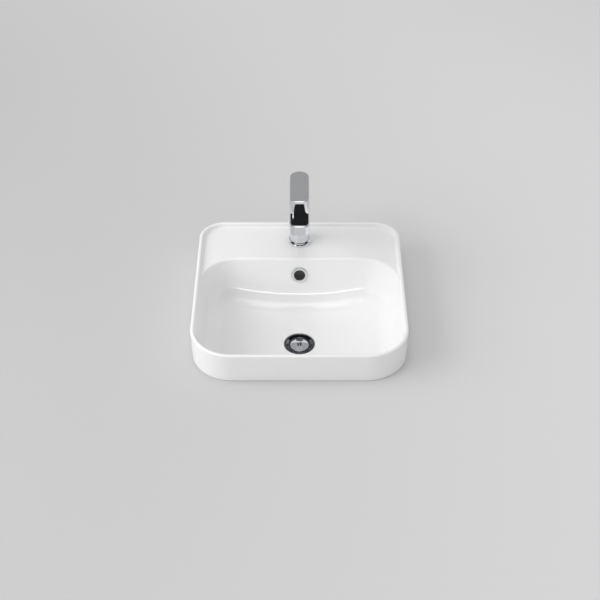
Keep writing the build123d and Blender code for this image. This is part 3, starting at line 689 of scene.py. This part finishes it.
def casting_skin(shape):
    """The glazed surface as one even net of faces, from the foot to the waste's recess."""
    slope = math.tan(shape.draft)
    ledge_inset = shape.rim_width + shape.lip * slope
    outer_front = outline(shape, 0.0, FRONT_FACES)
    bowl_front = outline(shape, ledge_inset, FRONT_FACES)
    start = back_start(shape)
    bowl_back = shape.half_depth - shape.ledge_depth
    outer_at, outer_total = side_path(shape.half_width, shape.half_depth, shape.back_corner, start)
    bowl_at, bowl_total = side_path(shape.half_width - ledge_inset, bowl_back, shape.bowl_back_corner,
                                    start)
    square_turn = math.radians(60)
    square_y = shape.bowl_back_corner * math.sin(square_turn)
    square_arc = shape.bowl_back_corner * square_turn
    pairs = []
    near, far = 26, 52
    for step in range(near):
        turn = square_turn * step / near
        pairs.append((outer_at(shape.bowl_back_corner * math.sin(turn)),
                      bowl_at(shape.bowl_back_corner * turn)))
    for step in range(far + 1):
        part = step / far
        pairs.append((outer_at(square_y + (outer_total - square_y) * part),
                      bowl_at(square_arc + (bowl_total - square_arc) * part)))
    mirrored = [flipped(pair) for pair in pairs]
    back = mirrored[:-1] + list(reversed(pairs))
    lines = [bowl_meridian(shape, *outer, *bowl)
             for outer, bowl in [*zip(outer_front, bowl_front), *back[1:]]]
    form = bmesh.new()
    rows, columns = len(lines), len(lines[0])
    made = bmesh.ops.create_grid(form, x_segments=columns - 1, y_segments=rows - 1, size=1.0)
    for index, vert in enumerate(made["verts"]):
        vert.co = lines[index // columns][index % columns]
    first = made["verts"][:columns]
    last = made["verts"][-columns:]
    if (first[0].co - last[0].co).length > mm(0.01):
        for one, two in zip(zip(last, last[1:]), zip(first, first[1:])):
            form.faces.new((one[0], one[1], two[1], two[0]))
    bmesh.ops.remove_doubles(form, verts=first + last, dist=mm(0.002))
    bmesh.ops.recalc_face_normals(form, faces=form.faces)
    form.normal_update()
    outermost = max(form.faces, key=lambda face: face.calc_center_median().x)
    if outermost.normal.x < 0:
        bmesh.ops.reverse_faces(form, faces=form.faces)
    form.normal_update()
    return form


class MakeCasting(Operator):
    """Model the ceramic casting: glazed wall, rim, ledge and bowl over the bare underside."""

    bl_idname = "basin.make_casting"
    bl_label = "Ceramic casting"

    def execute(self, context):
        shape = context.scene.basin_shape
        skin = casting_skin(shape)
        rest = without(cad_copy("basin_body"), skin, mm(1.5))
        for face in rest.faces:
            face.smooth = True
        ledge = shape.wall_height - shape.lip
        open_hole(skin, Vector((0, TAP_AXIS.y, ledge)), Vector((0, 0, 1)), shape.tap_hole, CUT_DEPTH)
        centre, axis = overflow_place()
        open_hole(skin, centre, axis, shape.overflow_hole, CUT_DEPTH)
        for face in skin.faces:
            face.material_index = 0
        glazed = len(skin.faces)
        form = joined(rest, skin, 1)
        # Bare faces inside the overflow channel take the clay with painted shade.
        for face in form.faces:
            away = face.calc_center_median() - centre
            in_channel = abs(away.x) < CHANNEL_HALF_WIDTH and CHANNEL_BACK < away.dot(axis) < CHANNEL_FRONT
            if face.material_index == 1 and in_channel:
                face.material_index = 2
        slots = finishes()
        piece = place_piece("basin_casting", form, "basin_body",
                            [slots["white_ceramic"], bpy.data.materials["bare_china"],
                             bpy.data.materials["channel_clay_painted_shade"]], shaded=False)
        piece.data.set_sharp_from_angle(angle=CASTING_CREASE)
        if glazed < LEAST_GLAZED_FACES:
            raise RuntimeError("the casting's skin is missing")
        return {"FINISHED"}


def overflow_place():
    """Middle of the overflow ring's seat, and the direction from there square into the bowl."""
    shape = bpy.context.scene.basin_shape
    ledge = shape.wall_height - shape.lip
    back = shape.half_depth - shape.ledge_depth - (ledge - OVERFLOW_LEVEL) * math.tan(shape.draft)
    return Vector((0, back, OVERFLOW_LEVEL)), Vector((0, -math.cos(shape.draft), math.sin(shape.draft)))


# The chrome pieces

def block(width, nose, reach, low, high, edge):
    """A block round at the back and soft at the front corners, with its top edge rounded."""
    form = bmesh.new()
    bmesh.ops.create_cube(form, size=1.0)
    half = width / 2
    bmesh.ops.scale(form, verts=form.verts, vec=(width, reach + half, high - low))
    bmesh.ops.translate(form, verts=form.verts, vec=(0, (half - reach) / 2, (low + high) / 2))
    upright = [e for e in form.edges if abs(e.verts[0].co.z - e.verts[1].co.z) > mm(1)]
    for at_front, radius, segments in ((True, nose, 14), (False, half, 24)):
        chosen = [e for e in upright if e.is_valid and (e.verts[0].co.y < 0) == at_front]
        bmesh.ops.bevel(form, geom=chosen, offset=radius, offset_type="OFFSET", segments=segments,
                        profile=0.5,
                        affect="EDGES", clamp_overlap=False, material=-1)
        upright = [e for e in upright if e.is_valid]
    bmesh.ops.remove_doubles(form, verts=form.verts, dist=mm(0.01))
    top = [e for e in form.edges if all(v.co.z > high - mm(0.01) for v in e.verts)]
    bmesh.ops.bevel(form, geom=top, offset=edge, offset_type="OFFSET", segments=7, profile=0.5,
                    affect="EDGES",
                    clamp_overlap=False, material=-1)
    bmesh.ops.translate(form, verts=form.verts, vec=(0, TAP_AXIS.y, 0))
    form.normal_update()
    return form


def open_underside(form):
    """Take the flat bottom off a block."""
    under = [face for face in form.faces if face.normal.z < -0.99]
    bmesh.ops.delete(form, geom=under, context="FACES")


def hollow_top(form, level, radius):
    """Open a round hole in the flat top of a block, with the rest of the top filled again round it."""
    lid = [face for face in form.faces if face.normal.z > 0.999
           and face.calc_center_median().z > level - mm(0.01)]
    rim = {edge for face in lid for edge in face.edges if sum(1
                                                              for other in edge.link_faces if other in lid) == 1}
    bmesh.ops.delete(form, geom=lid, context="FACES")
    ring = bmesh.ops.create_circle(form, cap_ends=False, segments=64, radius=radius)["verts"]
    bmesh.ops.translate(form, verts=ring, vec=(0, TAP_AXIS.y, level))
    edges = [edge for edge in rim if edge.is_valid] + list({edge for vert in ring
                                                            for edge in vert.link_edges})
    bmesh.ops.triangle_fill(form, edges=edges, use_beauty=True, use_dissolve=False, normal=(0, 0, 1))
    form.normal_update()


class MakeTapBody(Operator):
    """Model the mixer's column and spout in polished chrome."""

    bl_idname = "basin.make_tap_body"
    bl_label = "Tap body"

    def execute(self, context):
        shape = context.scene.basin_tap
        low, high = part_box("tap_body")
        skin = block(shape.block_width, shape.nose, shape.spout_reach, high.z - shape.spout_thickness,
                     high.z,
                     shape.edge)
        open_underside(skin)
        hollow_top(skin, high.z, shape.chamber)
        made = bmesh.ops.create_cone(skin, cap_ends=False, segments=96, radius1=shape.block_width / 2,
                                     radius2=shape.block_width / 2,
                                     depth=high.z - shape.spout_thickness - low.z)
        bmesh.ops.translate(skin, verts=made["verts"],
                            vec=(0, TAP_AXIS.y, (low.z + high.z - shape.spout_thickness) / 2))
        skin.normal_update()
        form = joined(without(cad_copy("tap_body"), skin), skin)
        place_piece("mixer_body", form, "tap_body", [finishes()["tap_chrome"]])
        return {"FINISHED"}


class MakeLever(Operator):
    """Model the block lever in polished chrome."""

    bl_idname = "basin.make_lever"
    bl_label = "Lever"

    def execute(self, context):
        shape = context.scene.basin_tap
        low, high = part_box("lever_handle")
        skin = block(shape.block_width, shape.nose, shape.lever_reach, low.z, high.z, shape.edge)
        open_underside(skin)
        climb = Vector((0, -math.sin(shape.relief_angle), math.cos(shape.relief_angle)))
        bmesh.ops.bisect_plane(skin, geom=skin.verts[:] + skin.edges[:] + skin.faces[:],
                               plane_co=(0, TAP_AXIS.y - shape.relief_start, low.z), plane_no=climb,
                               clear_inner=True)
        skin.normal_update()
        rest = without(cad_copy("lever_handle"), skin)
        level = low.z - shape.lever_gap + shape.plug_level
        centre = Vector((0, TAP_AXIS.y + shape.block_width / 2, level))
        open_hole(skin, centre, Vector((0, 1, 0)), shape.plug_opening, mm(8))
        place_piece("lever", joined(rest, skin), "lever_handle", [finishes()["tap_chrome"]])
        return {"FINISHED"}


class MakeBaseRing(Operator):
    """Turn the cover ring at the foot of the mixer."""

    bl_idname = "basin.make_base_ring"
    bl_label = "Tap cover ring"

    def execute(self, context):
        low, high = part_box("tap_base_ring")
        gap, chamfer, band, shoulder, height = 0.1, 0.4, 4.5, 6.7, 8.0
        outer = in_mm((high.x - low.x) / 2)
        inner = in_mm(context.scene.basin_tap.block_width / 2) + gap
        profile = eased([(inner, 0.0), (outer - chamfer, 0.0), (outer, chamfer), (outer, band, 0.6),
                         (outer - 1.6, shoulder, 1.1), (inner + 1.2, height, 0.4), (inner, height),
                         (inner, height / 2)])
        form = turned(profile)
        bmesh.ops.translate(form, verts=form.verts, vec=(0, TAP_AXIS.y, low.z))
        place_piece("mixer_cover_ring", form, "tap_base_ring", [finishes()["tap_chrome"]])
        return {"FINISHED"}


class MakeOverflowRing(Operator):
    """Turn the overflow ring and seat it square to the bowl's back wall."""

    bl_idname = "basin.make_overflow_ring"
    bl_label = "Overflow ring"

    def execute(self, context):
        shape = context.scene.basin_waste
        outer, bore, stand = in_mm(shape.ring), in_mm(shape.ring_bore), in_mm(shape.ring_thickness)
        sleeve, sunk, rounding = bore + 2.2, -11.0, 1.15
        profile = eased([(sleeve, sunk), (sleeve, 0.0), (outer, 0.0), (outer, stand, rounding),
                         (bore, stand, rounding), (bore, sunk), (sleeve, sunk)], 6)
        form = turned(profile, 80)
        centre, axis = overflow_place()
        bmesh.ops.transform(form, verts=form.verts,
                            matrix=Matrix.Translation(centre) @ axis.to_track_quat("Z",
                                                                                   "Y").to_matrix().to_4x4())
        place_piece("overflow_cover_ring", form, "overflow_ring", [finishes()["ring_chrome"]])
        return {"FINISHED"}


def on_floor(form):
    """Move a form to the waste's place, level with the lowest point of the bowl."""
    shape = bpy.context.scene.basin_shape
    bmesh.ops.translate(form, verts=form.verts, vec=(0, WASTE_Y, shape.wall_height - shape.bowl_depth))


class MakeWaste(Operator):
    """Turn the waste's dished flange and the domed plug."""

    bl_idname = "basin.make_waste"
    bl_label = "Waste and plug"

    def execute(self, context):
        shape = context.scene.basin_waste
        flange, plug = in_mm(shape.flange), in_mm(shape.plug)
        cup_rim, cup_foot, well, tail_bore = 28.1, 23.8, 20.6, 17.5
        under, cup_level, well_level, seat_level = -2.0, -3.3, -6.7, -9.7
        chrome = finishes()["waste_chrome"]
        profile = eased([(flange, under), (flange, 0.0, 0.4), (flange - 1.0, 1.0, 0.5), (cup_rim, 1.0, 0.5),
                         (cup_foot, cup_level, 0.6), (well, cup_level, 0.2), (well, well_level, 0.2),
                         (tail_bore, seat_level)], 5)
        skin = turned(profile)
        on_floor(skin)
        form = joined(without(cad_copy("waste_body"), skin), skin)
        # The flange takes the chrome with painted shade, darker than the plug's.
        place_piece("waste_flange", form, "waste_body", [bpy.data.materials["shade_darkened_chrome"]])
        crown = in_mm(shape.plug_crown)
        dome = (plug ** 2 + crown ** 2) / (2 * crown)
        hub, boss = 6.0, 15.4
        edge, rim_foot, boss_foot, hub_foot = -3.0, -6.0, -9.2, -12.0
        radii = [plug * (1 - step / 12) for step in range(1, 13)]
        arc = [(radius, edge + crown - dome + math.sqrt(dome ** 2 - radius ** 2)) for radius in radii]
        profile = eased([(0.0, hub_foot), (hub, hub_foot, 0.4), (hub, boss_foot, 0.4),
                         (boss, boss_foot, 0.3),
                         (boss, rim_foot, 0.2), (plug, rim_foot, 0.4), (plug, edge, 0.7), arc[0]]) + arc[1:]
        skin = turned(profile)
        on_floor(skin)
        place_piece("waste_plug", skin, "plug_cap", [chrome])
        return {"FINISHED"}


class DressHidden(Operator):
    """Give every other CAD part a welded, cleanly shaded copy in its real finish."""

    bl_idname = "basin.dress_hidden"
    bl_label = "Inner and hidden parts"

    def execute(self, context):
        slots = finishes()
        done = {"basin_body", "tap_body", "lever_handle", "tap_base_ring", "overflow_ring", "waste_body",
                "plug_cap"}
        for node in sorted(frame["nodes"]):
            if node not in done:
                place_piece("dressed_" + node, cad_copy(node), node, [slots[SLOT_OF[node]]])
        return {"FINISHED"}


# The studio, in metres, watts and levels from 0 to 1

CUT_HALF = mm(212)  # middle to each side of the cut-out
CUT_POWER = 5.0  # how square the cut-out is
BENCH_RINGS = (0.6, 2.0, 9.0)  # reaches of the benchtop's rings of faces
KEY, KEY_PLACE = "left_softbox", (-1.6, -0.4, 1.0)
# The benchtop's change of tone is painted shade, darkest nearest the key lamp.
NEAR_KEY, FAR_FROM_KEY = 0.7, 2.8  # distances between which the benchtop changes tone
CAMERA_SIDE = (0.2, 0.4)  # how far back the room's dark side fades out
DARK_LOW, DARK_HIGH = (0.36, 0.5), (0.84, 0.93)  # heights where it fades in and out
DARKEST = 0.02
GREY_WAY, GREY_SPAN = (0, 0.76, 0.65), (0.80, 0.93)  # middle of the grey patch behind, and its soft edge
LAMPS = ((KEY, KEY_PLACE, (1.6, 1.1), 18.0, (0, 0, 0.03)),
         ("overhead_softbox", (0, -0.15, 1.9), (0.55, 0.9), 3.2, (0, 0, 0)),
         ("left_front_fill", (-1.2, -1.2, 1.2), (0.6, 0.6), 2.2, (0, 0, 0)),
         ("front_strip", (0, -1.87, 0.95), (0.22, 0.2), 0.95,
          (0, 0, 0)))  # name, place, size, power, target
LENS, CAMERA_PLACE, LOOK_DOWN = 71.82, (0.0011, -1.928, 1.678), 40.6


class MakeStudio(Operator):
    """Set out the benchtop with its cut-out, the lights, the room and the camera."""

    bl_idname = "basin.make_studio"
    bl_label = "Studio"

    def execute(self, context):
        bench_top(context.scene)
        room(context.scene)
        lights()
        camera(context.scene)
        context.scene.view_settings.view_transform = "Standard"
        return {"FINISHED"}


def bench_top(scene):
    """A wide pale surface at the foot of the wall, open under the basin so that the bowl hangs through."""
    shape = scene.basin_shape
    form = bmesh.new()
    cut = bmesh.ops.create_circle(form, cap_ends=False, segments=96, radius=1.0)["verts"]
    for vert in cut:
        turn = math.atan2(vert.co.y, vert.co.x)
        across, along = math.cos(turn), math.sin(turn)
        spread_out = (abs(across) ** CUT_POWER + abs(along) ** CUT_POWER) ** (-1 / CUT_POWER)
        vert.co = Vector((across * spread_out * CUT_HALF, along * spread_out * CUT_HALF, 0))
    edges = list({edge for vert in cut for edge in vert.link_edges})
    for reach in BENCH_RINGS:
        grown = bmesh.ops.extrude_edge_only(form, edges=edges)["geom"]
        fresh = [item for item in grown if isinstance(item, bmesh.types.BMVert)]
        for vert in fresh:
            vert.co = vert.co.normalized() * reach
        edges = [item for item in grown if isinstance(item, bmesh.types.BMEdge)
                 and all(vert in fresh for vert in item.verts)]
    bmesh.ops.recalc_face_normals(form, faces=form.faces)
    form.normal_update()
    form.faces.ensure_lookup_table()
    if form.faces[0].normal.z < 0:
        bmesh.ops.reverse_faces(form, faces=form.faces)
    mesh = bpy.data.meshes.new("benchtop")
    form.to_mesh(mesh)
    form.free()
    bench = bpy.data.objects.new("benchtop", mesh)
    scene.collection.objects.link(bench)
    # Its colour is painted shade, darker nearer the key lamp so that the key's light looks even across it.
    material, tree = new_material("matt_laminate_painted_shade")
    place = add_node(tree, "TexCoord").outputs["Object"]
    away = add_node(tree, "VectorMath", {0: place, 1: (*KEY_PLACE[:2], 0)}, operation="DISTANCE")
    share = ramp(tree, away.outputs["Value"], NEAR_KEY, FAR_FROM_KEY, 0.0, 1.0)
    surface = tint(tree, share, scene.basin_studio.bench_painted_shade, scene.basin_studio.bench_far)
    finish(tree, {"Base Color": surface, "Roughness": 0.9, "Specular IOR Level": 0.0})
    mesh.materials.append(material)


def room(scene):
    """Plain light on the piece; camera and reflections see a pale room, dark on the camera's side."""
    studio = scene.basin_studio
    world = bpy.data.worlds.new("studio_room")
    scene.world = world
    world.use_nodes = True
    tree = world.node_tree
    tree.nodes.clear()
    place = add_node(tree, "TexCoord").outputs["Generated"]
    parts = add_node(tree, "SeparateXYZ", {"Vector": place}).outputs
    aim = add_node(tree, "VectorMath", {0: place, 1: GREY_WAY}, operation="DOT_PRODUCT")
    camera_side = ramp(tree, parts["Y"], *CAMERA_SIDE, 1.0, 0.0)
    raised = ramp(tree, parts["Z"], *DARK_LOW, 0.0, 1.0)
    lowered = ramp(tree, parts["Z"], *DARK_HIGH, 1.0, 0.0)
    band = add_node(tree, "Math", {0: raised, 1: lowered}, operation="MULTIPLY").outputs[0]
    dark = add_node(tree, "Math", {0: band, 1: camera_side}, operation="MULTIPLY").outputs[0]
    lit = ramp(tree, dark, 0.0, 1.0, studio.mirrored, DARKEST)
    grey = ramp(tree, aim.outputs["Value"], *GREY_SPAN, 0.0, studio.mirrored / 2)
    shade = add_node(tree, "Math", {0: lit, 1: grey}, operation="SUBTRACT").outputs[0]
    plain = add_node(tree, "Background", {"Color": (1, 1, 1, 1), "Strength": studio.plain})
    seen = add_node(tree, "Background", {"Color": shade, "Strength": 1.0})
    path = add_node(tree, "LightPath").outputs
    shows = add_node(tree, "Math", {0: path["Is Camera Ray"], 1: path["Is Glossy Ray"]},
                     operation="MAXIMUM").outputs[0]
    shows = add_node(tree, "Math", {0: shows, 1: path["Is Transmission Ray"]},
                     operation="MAXIMUM").outputs[0]
    final = add_node(tree, "MixShader", {"Fac": shows, 1: plain.outputs[0], 2: seen.outputs[0]})
    add_node(tree, "OutputWorld", {"Surface": final.outputs[0]})


def ramp(tree, value, low, high, first, last):
    """A soft change from the first level to the last as a value goes from low to high."""
    return add_node(tree, "MapRange",
                    {"Value": value, "From Min": low, "From Max": high, "To Min": first,
                                                 "To Max": last},
                                                 interpolation_type="SMOOTHSTEP").outputs["Result"]


def lights():
    """A soft key from the left that nothing mirrors, an overhead softbox, a low fill and a small front lamp."""
    for name, place, size, power, target in LAMPS:
        lamp = bpy.data.lights.new(name, "AREA")
        lamp.shape = "RECTANGLE"
        lamp.size, lamp.size_y = size
        lamp.energy = power
        holder = bpy.data.objects.new(name, lamp)
        bpy.context.scene.collection.objects.link(holder)
        holder.visible_glossy = name != KEY
        holder.location = place
        holder.rotation_euler = (Vector(target) - Vector(place)).to_track_quat("-Z", "Y").to_euler()


def camera(scene):
    """The photograph's view: above the user's side, looking down at the bowl."""
    lens = bpy.data.cameras.new("camera")
    lens.sensor_width = 36.0
    lens.lens = LENS
    holder = bpy.data.objects.new("camera", lens)
    scene.collection.objects.link(holder)
    holder.location = CAMERA_PLACE
    holder.rotation_euler = (math.radians(90 - LOOK_DOWN), 0, 0)
    scene.camera = holder


class BasinPanel(Panel):
    """Lists the basin's pieces and their sizes in the sidebar."""

    bl_idname = "VIEW3D_PT_basin"
    bl_label = "Inset basin"
    bl_space_type = "VIEW_3D"
    bl_region_type = "UI"
    bl_category = "Basin"

    def draw(self, context):
        for maker in MAKERS:
            self.layout.operator(maker.bl_idname)
        for group in ("basin_shape", "basin_tap", "basin_waste", "basin_finishes", "basin_studio"):
            settings = getattr(context.scene, group)
            box = self.layout.box()
            for name in settings.__annotations__:
                box.prop(settings, name)


GROUPS = {"basin_shape": BasinShape, "basin_tap": TapShape, "basin_waste": WasteShape,
          "basin_finishes": Finishes,
          "basin_studio": Studio}
MAKERS = (MakeCasting, MakeTapBody, MakeLever, MakeBaseRing, MakeOverflowRing, MakeWaste, DressHidden,
          MakeStudio)


def register():
    """Make the panel, the operators and the settings known to Blender."""
    for kind in (*GROUPS.values(), *MAKERS, BasinPanel):
        bpy.utils.register_class(kind)
    for name, kind in GROUPS.items():
        setattr(bpy.types.Scene, name, PointerProperty(type=kind))


def unregister():
    """Take them out again."""
    for name in GROUPS:
        delattr(bpy.types.Scene, name)
    for kind in (BasinPanel, *MAKERS, *GROUPS.values()):
        bpy.utils.unregister_class(kind)


def main():
    """Build every piece."""
    register()
    for maker in MAKERS:
        family, action = maker.bl_idname.split(".")
        getattr(getattr(bpy.ops, family), action)()


if __name__ == "__main__":
    main()
